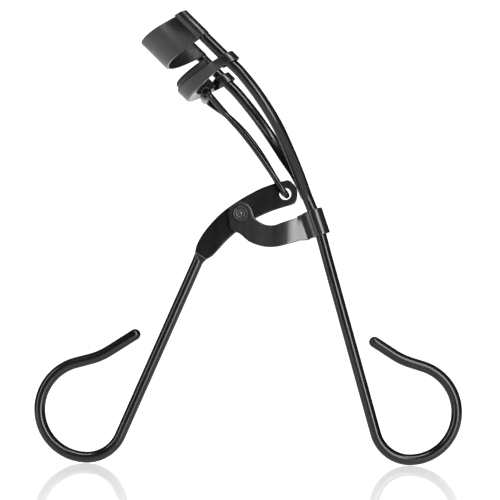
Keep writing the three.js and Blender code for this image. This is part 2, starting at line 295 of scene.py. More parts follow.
wire_coating = black_coating(
    "coated_wire", film=(0.002, 0.002, 0.0022), thin_film=(0.006, 0.006, 0.0065),
    gloss=0.12, ripple=0.03, index=1.40)
sheet_coating = black_coating(
    "coated_sheet", film=(0.004, 0.004, 0.0043), thin_film=(0.008, 0.008, 0.0083),
    gloss=0.16, ripple=0.06, index=1.50)
rivet_coating = black_coating(
    "rivet_metal", film=(0.006, 0.006, 0.0065), thin_film=(0.010, 0.010, 0.011),
    gloss=0.12, ripple=0.04, index=1.55)
print("coatings:", wire_coating.name, sheet_coating.name, rivet_coating.name)

# %% The silicone of the pad


def silicone_rubber():
    """Matt rubber: cloudy black, a little lint on it, and the fine grain of its mould."""
    finish = Finish("silicone")
    cloud = finish.spread(finish.noise(260, 3, 0.5), 0.3, 0.7)
    colour = finish.blend(cloud, (0.004, 0.004, 0.0043), (0.008, 0.008, 0.0083))
    dust = finish.spread(finish.noise(1900, 3, 0.6), 0.66, 0.78)
    colour = finish.blend(finish.math("MULTIPLY", dust, 0.3), colour, (0.07, 0.07, 0.07))
    finish.link(colour, finish.shader.inputs["Base Color"])
    rough = finish.spread(finish.noise(420, 4, 0.6), 0.3, 0.7, 0.26, 0.40)
    finish.link(rough, finish.shader.inputs["Roughness"])
    finish.link(finish.bump(finish.noise(3200, 3, 0.6), 0.4, 0.00002), finish.shader.inputs["Normal"])
    finish.shader.inputs["IOR"].default_value = 1.33
    return finish.material


silicone = silicone_rubber()
print("pad material:", silicone.name)

# %% [markdown]
# ## Wire that follows a path
#
# Four of the nine pieces are wire, so one Geometry Nodes tree draws them all. The real wire is drawn
# through a die, which gives it the same round section everywhere, and is then bent on a form. The
# tree does the same: it sweeps a circle along a path. Near an end it shrinks the circle by the
# circle's own rule, sqrt(1 - (1 - d / r)^2), which makes the tumbled, half-round tip of the wire.

# %% A builder for node trees


class Tree:
    """A Geometry Nodes tree with a few short ways to add nodes."""

    def __init__(self, name, inputs):
        self.group = bpy.data.node_groups.new(name, "GeometryNodeTree")
        self.sockets = {}
        self.group.interface.new_socket("Geometry", in_out="INPUT", socket_type="NodeSocketGeometry")
        for label, kind, value in inputs:
            socket = self.group.interface.new_socket(label, in_out="INPUT", socket_type="NodeSocket" + kind)
            if value is not None:
                socket.default_value = value
            self.sockets[label] = socket.identifier
        self.group.interface.new_socket("Geometry", in_out="OUTPUT", socket_type="NodeSocketGeometry")
        self.start = self.group.nodes.new("NodeGroupInput").outputs
        self.end = self.group.nodes.new("NodeGroupOutput").inputs

    def node(self, kind, inputs=None, **settings):
        made = self.group.nodes.new(kind)
        for name, value in settings.items():
            setattr(made, name, value)
        for name, value in (inputs or {}).items():
            if isinstance(value, bpy.types.NodeSocket):
                self.group.links.new(value, made.inputs[name])
            else:
                made.inputs[name].default_value = value
        return made

    def math(self, operation, first, second=0.0):
        return self.node("ShaderNodeMath", {0: first, 1: second}, operation=operation).outputs[0]

    def close(self, geometry, material):
        # Every tree ends the same way: real geometry, with its finish on it.
        real = self.node("GeometryNodeRealizeInstances", {"Geometry": geometry}).outputs["Geometry"]
        done = self.node("GeometryNodeSetMaterial", {"Geometry": real, "Material": material})
        self.group.links.new(done.outputs["Geometry"], self.end[0])

    def bake(self, source, name, values):
        # Runs the tree on the source object and keeps the result as a plain mesh object.
        step = source.modifiers.new(self.group.name, "NODES")
        step.node_group = self.group
        for label, value in values.items():
            step[self.sockets[label]] = value
        bpy.context.view_layer.update()
        evaluated = source.evaluated_get(bpy.context.evaluated_depsgraph_get())
        mesh = bpy.data.meshes.new_from_object(evaluated)
        source.modifiers.remove(step)
        data = source.data
        bpy.data.objects.remove(source)
        bpy.data.curves.remove(data)
        mesh.name = name
        return new_object(name, mesh)


print("node tree builder ready")

# %% The wire tree

WELD_DISTANCE = 0.002

wire_tree = Tree("swept_wire", [
    ("Wire Radius", "Float", 1.3 * MM),
    ("Sides", "Int", 40),
    ("Round Start", "Float", 1.0),
    ("Round End", "Float", 1.0),
    ("Material", "Material", None),
])


def tip_scale(tree, distance, radius, rounded):
    # 1 far from the tip, falling to 0 at the tip as a half circle does, if this tip is rounded.
    share = tree.math("MINIMUM", tree.math("DIVIDE", distance, radius), 1.0)
    share = tree.math("MAXIMUM", share, tree.math("SUBTRACT", 1.0, rounded))
    left = tree.math("SUBTRACT", 1.0, share)
    return tree.math("SQRT", tree.math("SUBTRACT", 1.0, tree.math("MULTIPLY", left, left)))


wire_radius = wire_tree.start["Wire Radius"]
walked = wire_tree.node("GeometryNodeSplineParameter").outputs["Length"]
whole = wire_tree.node("GeometryNodeSplineLength").outputs["Length"]
still_to_walk = wire_tree.math("SUBTRACT", whole, walked)
start_scale = tip_scale(wire_tree, walked, wire_radius, wire_tree.start["Round Start"])
end_scale = tip_scale(wire_tree, still_to_walk, wire_radius, wire_tree.start["Round End"])
circle = wire_tree.node("GeometryNodeCurvePrimitiveCircle", {
    "Resolution": wire_tree.start["Sides"], "Radius": wire_radius})
swept = wire_tree.node("GeometryNodeCurveToMesh", {
    "Curve": wire_tree.start["Geometry"], "Profile Curve": circle.outputs["Curve"],
    "Scale": wire_tree.math("MULTIPLY", start_scale, end_scale)})
welded = wire_tree.node("GeometryNodeMergeByDistance", {
    "Geometry": swept.outputs["Mesh"], "Distance": WELD_DISTANCE * MM})
smooth = wire_tree.node("GeometryNodeSetShadeSmooth", {"Geometry": welded.outputs["Geometry"]})
wire_tree.close(smooth.outputs["Geometry"], wire_tree.start["Material"])
print("wire tree has", len(wire_tree.group.nodes), "nodes")

# %% [markdown]
# The paths are made of what a bending jig makes: straight runs and round bends. A run is given by its
# length, and a bend by its radius and how far it turns. The free curves of the guide rods and of the
# link, which no jig radius describes, pass smoothly through a few measured places instead.

# %% Paths for the wire


def follow_runs(start, heading, runs, run_step=2.5, bend_step=2.5):
    """Points in the XZ plane, from a heading in degrees and runs of (length, radius, turn)."""
    place, angle = Vector(start), math.radians(heading)
    points = [place.copy()]
    for length, radius, turn in runs:
        if length:
            count = max(2, round(length / run_step))
            for _ in range(count):
                place = place + Vector((math.cos(angle), 0, math.sin(angle))) * (length / count)
                points.append(place)
        else:
            count = max(2, math.ceil(abs(turn) / bend_step))
            bit = math.radians(turn) / count
            chord = 2 * radius * math.sin(abs(bit) / 2)
            for _ in range(count):
                aim_angle = angle + bit / 2
                place = place + Vector((math.cos(aim_angle), 0, math.sin(aim_angle))) * chord
                angle += bit
                points.append(place)
    return points


def through(points, step):
    """A centripetal curve through the points, with a point about every step millimetres."""
    ghosts = [2 * points[0] - points[1], *points, 2 * points[-1] - points[-2]]
    line = [points[0].copy()]
    for a, b, c, d in zip(ghosts, ghosts[1:], ghosts[2:], ghosts[3:]):
        ta = math.sqrt((b - a).length)
        tb = ta + math.sqrt((c - b).length)
        tc = tb + math.sqrt((d - c).length)
        count = max(2, round((c - b).length / step))
        for i in range(1, count + 1):
            t = ta + (tb - ta) * i / count
            ab = a + (b - a) * (t / ta)
            bc = b + (c - b) * ((t - ta) / (tb - ta))
            cd = c + (d - c) * ((t - tb) / (tc - tb))
            abc = ab + (bc - ab) * (t / tb)
            bcd = bc + (cd - bc) * ((t - ta) / (tc - ta))
            line.append(abc + (bcd - abc) * ((t - ta) / (tb - ta)))
    return line


def crowd_tip(points, radius, rings=9):
    """The same path with the rings of a half-round tip crowded at its first point."""
    first, heading = points[0], (points[1] - points[0]).normalized()
    crowd = [first + heading * radius * (1 - math.cos(math.pi / 2 * i / rings)) for i in range(rings + 1)]
    rest = [p for p in points if (p - first).length > radius * 1.15]
    return crowd + rest


def path_object(name, places):
    """A line through places in millimetres, for a node tree to follow."""
    curve = bpy.data.curves.new(name + "_path", "CURVE")
    curve.dimensions = "3D"
    line = curve.splines.new("POLY")
    line.points.add(len(places) - 1)
    for target, place in zip(line.points, places):
        target.co = (*(Vector(place) * MM), 1)
    return new_object(name + "_path", curve)


def wire_piece(name, points, radius, round_start=True, round_end=True, material=wire_coating, sides=40):
    if round_start:
        points = crowd_tip(points, radius)
    if round_end:
        points = crowd_tip(points[::-1], radius)[::-1]
    return wire_tree.bake(path_object(name, points), name, {
        "Wire Radius": radius * MM, "Sides": sides, "Material": material,
        "Round Start": float(round_start), "Round End": float(round_end)})


print("path helpers ready")

# %% [markdown]
# ## The two finger loops
#
# Each handle is one wire. It comes straight down, turns through a tight heel, swings round the big
# bow that the finger goes through, and flicks back in a shallow reverse curve to its blunt tip.
# Both loops are bent on the same form, so one rule draws them, mirrored left and right.

# %% Handle and guide rod paths

WIRE_RADIUS = 1.28
FLOOR_GAP = 1.3
HEEL_RADIUS, BOW_RADIUS, TIP_CURVE_RADIUS = 8.2, 11.0, 16.0
BOW_TO_TIP = 3.2
FIXED_ROD_TOP, FIXED_LEAN = Vector((17.4, 0, 47.5)), 15.9
LEVER_ROD_TOP, LEVER_LEAN = Vector((-13.3, 0, 45.6)), 23.2
# How far the bow and the tip's reverse curve turn, in degrees, and the length of the straight tip.
FIXED_LOOP, LEVER_LOOP = (163.0, 15.5, 6.6), (165.0, 18.0, 8.2)
HEAD_ORIGIN, HEAD_LEAN = Vector((-11.3, 0, 96)), math.radians(46)
ROD_SPREAD = 13.75

# The head frame: x out to the bulge of the jaws, y towards the bracket side, z up along the rods.
head_frame = Matrix((
    (-math.cos(HEAD_LEAN), 0, -math.sin(HEAD_LEAN), HEAD_ORIGIN.x),
    (0, -1, 0, 0),
    (-math.sin(HEAD_LEAN), 0, math.cos(HEAD_LEAN), HEAD_ORIGIN.z),
    (0, 0, 0, 1)))


def handle_path(rod_top, lean, side, bow_turn, tip_turn, tip_straight):
    """From the top of a handle's rod down and round to the tip. side is 1 to the right, -1 to the left."""
    heel_turn = 90 - lean
    heel_start = FLOOR_GAP + HEEL_RADIUS * (1 - math.cos(math.radians(heel_turn)))
    rod_length = (rod_top.z - heel_start) / math.cos(math.radians(lean))
    return follow_runs(rod_top, 270 + side * lean, [
        (rod_length, 0, 0),
        (0, HEEL_RADIUS, side * heel_turn),
        (0, BOW_RADIUS, side * bow_turn),
        (BOW_TO_TIP, 0, 0),
        (0, TIP_CURVE_RADIUS, -side * tip_turn),
        (tip_straight, 0, 0)])


def guide_places(side):
    """Measured places of one guide rod, from where the rods part to the foot of the upper jaw."""
    parting = [Vector((x, side * y, z)) for x, y, z in
               ((10.5, 2.7, 66.7), (7.4, 8.0, 72.5), (4.5, 11.4, 77.6), (0.4, 13.2, 83.6))]
    straight = [head_frame @ Vector((0, -side * ROD_SPREAD, z)) for z in (-10.3, -7.5, -4.5, -1.5, 1.0, 2.2)]
    return parting + straight


loop = handle_path(FIXED_ROD_TOP, FIXED_LEAN, 1, *FIXED_LOOP)[::-1]
collar_places = [Vector((14.9, 0, 56.2)), Vector((12.4, -0.3, 62.3))]
rod = through([loop[-2], FIXED_ROD_TOP, *collar_places, *guide_places(-1)], 0.8)
rod_foot = rod.index(min(rod, key=lambda p: (p - FIXED_ROD_TOP).length))
fixed_handle = wire_piece("fixed_handle", loop + rod[rod_foot + 1:], WIRE_RADIUS)
print("fixed handle:", len(fixed_handle.data.vertices), "vertices")

# %% [markdown]
# The second guide rod is a separate wire. Its foot is laid against the first rod just above the
# collar and brazed there, so the two wires run into one another.

# %% The far guide rod

far_rod_path = through([Vector((12.85, 2.62, 61.5)), *guide_places(1)], 0.8)
far_guide_rod = wire_piece("far_guide_rod", far_rod_path, WIRE_RADIUS)
far_rod_length = sum((a - b).length for a, b in zip(far_rod_path, far_rod_path[1:]))
print("far guide rod is", round(far_rod_length), "mm long")

# %% [markdown]
# ## Lofted sheet
#
# The flat parts are pressed from sheet. Their edges are tumbled after pressing, so no edge is sharp,
# and each edge carries a thin line of light. A loft joins a row of closed sections into a skin. The
# section is a superellipse, |x / a|^n + |y / b|^n = 1. With n = 2 it is round, and with a high n it is
# a flat plate with softened corners. So the same rule draws a wire, a plate and everything between.

# %% Loft helpers

PLATE_POWER = 11
SECTION_POINTS = 48


def even_turns(count):
    """Angles that divide a full turn into equal steps."""
    return [2 * math.pi * i / count for i in range(count)]


def superellipse(half_width, half_depth, power, angles):
    """Points of a section at these angles, as (across, deep)."""
    spots = []
    for angle in angles:
        c, s = math.cos(angle), math.sin(angle)
        spots.append((math.copysign(half_width * abs(c) ** (2 / power), c),
                      math.copysign(half_depth * abs(s) ** (2 / power), s)))
    return spots


def section_ring(left, right, half, power, angles):
    """A section that reaches from the left to the right edge and is half thick to the front and back."""
    middle, across = (left + right) / 2, (left - right) / 2
    return [middle + across * x + Vector((0, y, 0)) for x, y in superellipse(1, half, power, angles)]


def new_rows(shape, rings):
    return [[shape.verts.new(place) for place in ring] for ring in rings]


def join_rows(shape, rows):
    """Faces between each ring of corners and the next."""
    for low, high in zip(rows, rows[1:]):
        for i in range(len(low)):
            j = (i + 1) % len(low)
            shape.faces.new((low[i], low[j], high[j], high[i]))


def skin(shape, rings):
    """Joins rings of points in order and caps both ends."""
    rows = new_rows(shape, rings)
    join_rows(shape, rows)
    shape.faces.new(rows[0][::-1])
    shape.faces.new(rows[-1])


def finish_mesh(name, shape, material, sharp_degrees=40, matrix=None):
    """Millimetre bmesh to a metre object: welded, normals outward, smooth except at real creases."""
    bmesh.ops.remove_doubles(shape, verts=shape.verts, dist=WELD_DISTANCE)
    if matrix is not None:
        bmesh.ops.transform(shape, matrix=matrix, verts=shape.verts)
    bmesh.ops.transform(shape, matrix=Matrix.Scale(MM, 4), verts=shape.verts)
    bmesh.ops.recalc_face_normals(shape, faces=shape.faces)
    for face in shape.faces:
        face.smooth = True
    mesh = bpy.data.meshes.new(name)
    shape.to_mesh(mesh)
    shape.free()
    mesh.set_sharp_from_angle(angle=math.radians(sharp_degrees))
    mesh.materials.append(material)
    return new_object(name, mesh)


def blend_numbers(a, b, share):
    """From a to b with a soft start and end, as share goes from 0 to 1."""
    share = min(1.0, max(0.0, share))
    share = share * share * (3 - 2 * share)
    return a + (b - a) * share


print("loft helpers ready")

# %% [markdown]
# ## The lever
#
# The lever is one wire whose upper end is forged flat. A stamp squeezes the round wire to a curved
# plate about 5 mm wide and 1.1 mm thick. Where the stamp's edge stops there is a little step, and
# below it the metal flares back to the round wire within a millimetre or two. The wire comes first,
# left open at its top, where the plate will grow from it.

# %% The lever's wire

CONE_LENGTH = 1.1
lever_wire_path = handle_path(LEVER_ROD_TOP, LEVER_LEAN, -1, *LEVER_LOOP)
lever_axis = (lever_wire_path[1] - lever_wire_path[0]).normalized()
lever_wire_path[0] = lever_wire_path[0] - lever_axis * CONE_LENGTH
lever_wire = wire_piece("lever_wire", lever_wire_path, WIRE_RADIUS, round_start=False, sides=SECTION_POINTS)
print("lever wire:", len(lever_wire.data.vertices), "vertices")

# %% [markdown]
# The plate is given by its two edges, each a row of (x, z) places from the step by the wire to the
# end with the link's hole. Places that match on the two edges are the two ends of a section. The last
# few sections draw together, which rounds the corners of the tip.

# %% The outline of the plate

PLATE_HALF, PLATE_SECTIONS = 0.55, 46
PLATE_LEFT = [(-13.45, 48.9), (-13.4, 49.35), (-13.15, 50.4), (-12.35, 52.1), (-11.1, 54.0), (-9.35, 56.1),
              (-7.5, 58.0), (-5.5, 59.6), (-3.0, 61.3), (-0.2, 62.95), (2.3, 64.2), (4.8, 65.1), (7.0, 65.75)]
PLATE_RIGHT = [(-10.75, 47.15), (-10.35, 47.4), (-9.5, 47.9), (-7.9, 49.6), (-6.3, 51.4), (-4.5, 53.1),
               (-2.7, 54.6), (-1.1, 55.8), (0.7, 56.95), (2.6, 57.9), (4.6, 58.75), (6.5, 59.4), (8.1, 59.9)]
PLATE_TIP = [((7.9, 66.0), (8.9, 60.15)), ((8.7, 65.65), (9.55, 60.4)), ((9.5, 64.85), (9.85, 60.75)),
             ((9.95, 64.2), (10.05, 61.25)), ((10.15, 63.6), (10.16, 61.9)), ((10.22, 63.1), (10.22, 62.3))]
TIP_FULL_SECTIONS, TIP_THINNING = 3, 0.25


def in_plane(points):
    """(x, z) pairs as places in the middle plane of the tool."""
    return [Vector((x, 0, z)) for x, z in points]


def edge_line(points, count):
    """This many places, evenly spread along a smooth edge through the (x, z) points."""
    line = through(in_plane(points), 0.4)
    return [line[round(i * (len(line) - 1) / (count - 1))] for i in range(count)]


def plate_sections():
    """(left edge, right edge, half thickness) of each section, thinner at the very tip."""
    edges = zip(edge_line(PLATE_LEFT, PLATE_SECTIONS), edge_line(PLATE_RIGHT, PLATE_SECTIONS))
    sections = [(left, right, PLATE_HALF) for left, right in edges]
    for index, tip_edges in enumerate(PLATE_TIP):
        left, right = in_plane(tip_edges)
        half = PLATE_HALF * (1 - TIP_THINNING * max(0, index - TIP_FULL_SECTIONS))
        sections.append((left, right, half))
    return sections


print("plate sections:", len(plate_sections()))

# %% [markdown]
# The skin of the plate starts from the open ring of the wire itself. Each section keeps the angles of
# that ring, so every corner has one above it. Over the cone the ring gets wider and falls down a
# slope to the plate's thickness. Both ends of the slope are eased, and the upper one is the step: a
# rounded edge right across the plate, which catches one line of light.

# %% Grow the plate from the wire

CONE_RINGS, SLOPE_START, SLOPE_EASE = 20, 0.12, 0.18
LEFT_RUN, RIGHT_RUN, FLARE = 1.2, 0.4, 1.5

shape = bmesh.new()
shape.from_mesh(lever_wire.data)
bmesh.ops.transform(shape, matrix=Matrix.Scale(1 / MM, 4), verts=shape.verts)
open_ring = [v for v in shape.verts if v.is_boundary]
ring_middle = sum((v.co for v in open_ring), Vector()) / len(open_ring)
left_side = Vector((lever_axis.z, 0, -lever_axis.x))


def ring_angle(vertex):
    arm = vertex.co - ring_middle
    return math.atan2(arm.y, arm.dot(left_side)) % (2 * math.pi)


def eased_ramp(share, ease):
    """0 to 1 in a straight slope, with its two ends eased into the flats before and after it."""
    share = min(1.0, max(0.0, share))
    if share < ease:
        rise = share * share / (2 * ease)
    elif share > 1 - ease:
        rise = 1 - ease - (1 - share) ** 2 / (2 * ease)
    else:
        rise = share - ease / 2
    return rise / (1 - ease)


def cone_ring(share, angles):
    """The section this far from the wire's ring (0) to the step (1)."""
    step_left, step_right = in_plane((PLATE_LEFT[0], PLATE_RIGHT[0]))
    left = ring_middle + left_side * WIRE_RADIUS - lever_axis * LEFT_RUN * share
    right = ring_middle - left_side * WIRE_RADIUS - lever_axis * RIGHT_RUN * share
    fallen = eased_ramp((share - SLOPE_START) / (1 - SLOPE_START), SLOPE_EASE)
    half = WIRE_RADIUS + (PLATE_HALF - WIRE_RADIUS) * fallen
    power = 2 + (PLATE_POWER - 2) * fallen ** 2
    return section_ring(left.lerp(step_left, share ** FLARE), right.lerp(step_right, share ** FLARE),
                        half, power, angles)


open_ring.sort(key=ring_angle)
phases = [ring_angle(v) for v in open_ring]
rings = [cone_ring(i / CONE_RINGS, phases) for i in range(1, CONE_RINGS)]
rings += [section_ring(left, right, half, PLATE_POWER, phases) for left, right, half in plate_sections()]
rows = [open_ring] + new_rows(shape, rings)
join_rows(shape, rows)
shape.faces.new(rows[-1])
lever_handle = finish_mesh("lever_handle", shape, wire_coating, sharp_degrees=55)
bpy.data.objects.remove(lever_wire)
print("lever:", len(lever_handle.data.vertices), "vertices")

# %% [markdown]
# The link's hole is drilled after forging, and its rim is broken with a countersink. The cutter is
# therefore a pin with a small cone at both faces of the plate, so the rim catches light too.

# %% Drill the link's hole and the pivot hole

LINK_HOLE, LINK_HOLE_RADIUS = Vector((7.4, 0, 62.7)), 1.4
PIVOT, PIVOT_HOLE_RADIUS, PIVOT_HOLE_RIM = Vector((-3.1, 0, 57.8)), 1.1, 0.05
CUTTER_REACH = 0.5
DRILLED_CREASE = math.radians(28)


def turned_rings(middle, profile, sides):
    """Rings round a line along Y through the middle, from (radius, depth along Y) pairs."""
    return [[middle + Vector((radius * math.cos(turn), depth, radius * math.sin(turn)))
             for turn in even_turns(sides)] for radius, depth in profile]


def drill(piece, middle, radius, half, rim=0.12):
    """Cuts a hole along Y through a plate of this half thickness, with its rim broken on both faces."""
    front = [(radius + rim + CUTTER_REACH, -half - CUTTER_REACH), (radius + rim, -half), (radius, rim - half)]
    back = [(r, -depth) for r, depth in front[::-1]]
    shape = bmesh.new()
    skin(shape, turned_rings(middle, front + back, SECTION_POINTS))
    cutter = finish_mesh("cutter", shape, wire_coating)
    cut = piece.modifiers.new("drill", "BOOLEAN")
    cut.operation, cut.solver, cut.object = "DIFFERENCE", "EXACT", cutter
    bpy.context.view_layer.update()
    mesh = bpy.data.meshes.new_from_object(piece.evaluated_get(bpy.context.evaluated_depsgraph_get()))
    piece.modifiers.remove(cut)
    bpy.data.objects.remove(cutter)
    mesh.name = piece.name
    piece.data = mesh
    mesh.set_sharp_from_angle(angle=DRILLED_CREASE)
    # The cut may bring the cutter's finish with it. The first one is the piece's own.
    while len(mesh.materials) > 1:
        mesh.materials.pop()


drill(lever_handle, LINK_HOLE, LINK_HOLE_RADIUS, PLATE_HALF)
drill(lever_handle, PIVOT, PIVOT_HOLE_RADIUS, PLATE_HALF, PIVOT_HOLE_RIM)
print("drilled lever:", len(lever_handle.data.polygons), "faces")

# %% [markdown]
# ## The pivot bracket
#
# The bracket is a strip of sheet. Its round tongue lies on the lever and carries the rivet, and its
# arm dips, rises and leans back to the rod it will grip. The tongue is round to the upper left, so
# its first sections are cords of a circle. The arm is given by its two edges, as the plate was.

# %% The tongue and the arm

BRACKET_DEEP, BRACKET_HALF, BRACKET_SECTIONS = -1.38, 0.38, 34
ARM_BEND_START, ARM_BEND = 7.0, 0.034
TONGUE_RADIUS, TONGUE_CORDS = 2.75, (8, 16, 25, 35, 46, 58, 70, 82)
BRACKET_UPPER = [(-0.95, 59.5), (-0.45, 58.75), (-0.1, 57.6), (0.4, 56.7), (1.0, 56.25), (2.8, 55.35),
                 (4.7, 55.25), (6.55, 55.9), (8.4, 56.55), (10.25, 57.2)]
BRACKET_LOWER = [(-5.55, 56.6), (-5.6, 55.4), (-5.2, 54.2), (-4.3, 53.55), (-3.3, 53.2), (-0.9, 51.3),
                 (2.0, 50.3), (4.8, 50.15), (7.6, 50.75), (11.0, 51.8)]

tongue_heading = Vector((0.62, 0, -0.78)).normalized()
tongue_across = Vector((tongue_heading.z, 0, -tongue_heading.x))
strip = []
for degrees in TONGUE_CORDS:
    back = TONGUE_RADIUS * math.cos(math.radians(degrees))
    half_cord = TONGUE_RADIUS * math.sin(math.radians(degrees))
    middle = PIVOT - tongue_heading * back
    strip.append((middle - tongue_across * half_cord, middle + tongue_across * half_cord))
strip += zip(edge_line(BRACKET_UPPER, BRACKET_SECTIONS), edge_line(BRACKET_LOWER, BRACKET_SECTIONS))


def arm_depth(x):
    """The arm is flat, then leans back towards the rod it will grip."""
    return BRACKET_DEEP + ARM_BEND * max(0.0, x - ARM_BEND_START) ** 2


bracket_rings = []
for upper, lower in strip:
    ring = section_ring(upper, lower, BRACKET_HALF, PLATE_POWER, even_turns(SECTION_POINTS))
    for place in ring:
        place.y += arm_depth(place.x)
    bracket_rings.append(ring)
print("tongue and arm:", len(bracket_rings), "sections")

# %% [markdown]
# The tail of the strip is bent into a valley, pinched, and closed round the fixed rod as a collar.
# Seen along the rod it is a path: valley, two small ridges left by the pinching tool, most of a
# circle, and a flat end that lies against the strip's back.

# %% The collar round the fixed rod

COLLAR_CENTRE, COLLAR_LEAN = Vector((14.9, 0, 56.2)), math.radians(19)
COLLAR_RING, COLLAR_HALF_WALL, COLLAR_HALF_HEIGHT = 1.78, 0.36, 3.1
COLLAR_START, COLLAR_TURN, COLLAR_STEPS = 218, 286, 28
# Each place is (along the strip, depth, half height), measured from the rod's middle.
COLLAR_VALLEY = [(-3.75, -0.74, 2.85), (-3.35, -0.66, 2.92), (-3.12, -0.50, 2.98), (-2.92, -0.52, 3.0),
                 (-2.78, -0.68, 3.02), (-2.62, -0.70, 3.05), (-2.46, -0.54, 3.08), (-2.3, -0.6, 3.1),
                 (-2.15, -0.9, 3.1), (-1.9, -1.12, 3.1)]
COLLAR_END = [(-2.0, 0.72, 3.08), (-2.6, 0.42, 3.05), (-3.3, 0.3, 2.98), (-4.0, 0.28, 2.9)]

collar_up = Vector((-math.sin(COLLAR_LEAN), 0, math.cos(COLLAR_LEAN)))
collar_side = Vector((math.cos(COLLAR_LEAN), 0, math.sin(COLLAR_LEAN)))
collar_path = list(COLLAR_VALLEY)
for i in range(COLLAR_STEPS + 1):
    angle = math.radians(COLLAR_START + COLLAR_TURN * i / COLLAR_STEPS)
    collar_path.append((COLLAR_RING * math.cos(angle), COLLAR_RING * math.sin(angle), COLLAR_HALF_HEIGHT))
collar_path += COLLAR_END

for i, (along, deep, half_height) in enumerate(collar_path):
    before, after = collar_path[max(0, i - 1)], collar_path[min(len(collar_path) - 1, i + 1)]
    run = Vector((after[0] - before[0], after[1] - before[1], 0)).normalized()
    wall = collar_side * (-run.y) + Vector((0, run.x, 0))
    middle = COLLAR_CENTRE + collar_side * along + Vector((0, deep, 0))
    # Over its first few sections the tail takes up the collar's own height and wall.
    sag = blend_numbers(-0.45, -0.1, i / 6)
    half_wall = blend_numbers(BRACKET_HALF, COLLAR_HALF_WALL, i / 4)
    bracket_rings.append([middle + collar_up * (x * half_height + sag) + wall * y for x, y in
                          superellipse(1, half_wall, PLATE_POWER, even_turns(SECTION_POINTS))])
shape = bmesh.new()
skin(shape, bracket_rings)
pivot_bracket = finish_mesh("pivot_bracket", shape, sheet_coating, sharp_degrees=50)
drill(pivot_bracket, PIVOT + Vector((0, BRACKET_DEEP, 0)), PIVOT_HOLE_RADIUS, BRACKET_HALF, PIVOT_HOLE_RIM)
print("bracket:", len(pivot_bracket.data.vertices), "vertices")

# %% [markdown]
# ## The rivet
#
# A tubular rivet is pushed through the tongue and the lever. Its flared rim is rolled over a domed
# punch, which leaves a ring, a groove, a second ring and a shallow dimple. It is turned on a lathe,
# so here a profile is turned round the pivot's line.

# %% Turn the rivet

RIVET_FACE, RIVET_SIDES = -2.12, 64
# (radius, depth) pairs: the head is measured from its own face, the tail from the middle plane.
RIVET_HEAD = [(0.004, -0.48), (0.25, -0.47), (0.45, -0.40), (0.56, -0.28), (0.68, -0.22), (0.84, -0.34),
              (1.0, -0.46), (1.12, -0.42), (1.2, -0.24), (1.27, -0.14), (1.36, -0.2), (1.48, -0.3),
              (1.6, -0.27), (1.69, -0.16), (1.72, -0.02), (1.7, 0.1), (1.62, 0.26), (1.0, 0.28)]
RIVET_TAIL = [(1.0, 0.9), (1.55, 0.92), (1.7, 1.02), (1.72, 1.15), (1.62, 1.32), (1.35, 1.48), (0.95, 1.58),
              (0.5, 1.63), (0.004, 1.64)]
rivet_profile = [(radius, RIVET_FACE + depth) for radius, depth in RIVET_HEAD] + RIVET_TAIL
shape = bmesh.new()
skin(shape, turned_rings(PIVOT, rivet_profile, RIVET_SIDES))
pivot_rivet = finish_mesh("pivot_rivet", shape, rivet_coating, sharp_degrees=60)
print("rivet is", 2 * max(radius for radius, depth in rivet_profile), "mm across")

# %% [markdown]
# ## The upper jaw
#
# The upper jaw is a strip of sheet rolled to an arc that fits round the eye. Each end is curled into
# a roll and crimped on the thin end of a guide rod. The whole strip climbs towards the bulge, so its
# edge follows a lid. That is a rule: a strip along a plan path, raised by how far out each point is,
# and a little more at its upper edge. A second node tree follows it.

# %% The jaw band tree

JAW_CREASE = math.radians(60)

band_tree = Tree("jaw_band", [
    ("Sheet Thickness", "Float", 0.8 * MM),
    ("Foot", "Float", 1.4 * MM),
    ("Height", "Float", 7.4 * MM),
    ("Edge Radius", "Float", 0.2 * MM),
    ("Rise", "Float", 0.18),
    ("Flare", "Float", 0.14),
    ("Material", "Material", None),
])
card = band_tree.node("GeometryNodeCurvePrimitiveQuadrilateral", {
    "Width": band_tree.start["Sheet Thickness"], "Height": band_tree.start["Height"]})
soft_card = band_tree.node("GeometryNodeFilletCurve", {
    "Curve": card.outputs["Curve"], "Radius": band_tree.start["Edge Radius"], "Count": 4}, mode="POLY")
upright = band_tree.node("GeometryNodeSetCurveNormal", {"Curve": band_tree.start["Geometry"]}, mode="Z_UP")
band = band_tree.node("GeometryNodeCurveToMesh", {
    "Curve": upright.outputs["Curve"], "Profile Curve": soft_card.outputs["Curve"], "Fill Caps": True})
spot = band_tree.node("ShaderNodeSeparateXYZ", {0: band_tree.node("GeometryNodeInputPosition").outputs[0]})
height = band_tree.start["Height"]
share = band_tree.math("ADD", band_tree.math("DIVIDE", spot.outputs["Z"], height), 0.5)
flare = band_tree.math("MULTIPLY", share, band_tree.start["Flare"])
lift = band_tree.math("ADD", band_tree.start["Rise"], flare)
climb = band_tree.math("MULTIPLY", spot.outputs["X"], lift)
stand = band_tree.math("ADD", band_tree.start["Foot"], band_tree.math("MULTIPLY", height, 0.5))
shift = band_tree.node("ShaderNodeCombineXYZ", {"Z": band_tree.math("ADD", climb, stand)})
moved = band_tree.node("GeometryNodeSetPosition", {
    "Geometry": band.outputs["Mesh"], "Offset": shift.outputs[0]})
smooth_band = band_tree.node("GeometryNodeSetShadeSmooth", {"Geometry": moved.outputs["Geometry"]})
band_tree.close(smooth_band.outputs["Geometry"], band_tree.start["Material"])


def band_piece(name, plan, values):
    """A band along (x, y) places in the head frame, in millimetres, stood on the rods where it belongs."""
    piece = band_tree.bake(path_object(name, [(x, y, 0) for x, y in plan]), name, values)
    place = head_frame.copy()
    place.translation = place.translation * MM
    piece.data.transform(place)
    piece.data.set_sharp_from_angle(angle=JAW_CREASE)
    return piece


print("band tree has", len(band_tree.group.nodes), "nodes")

# %% The upper jaw's plan

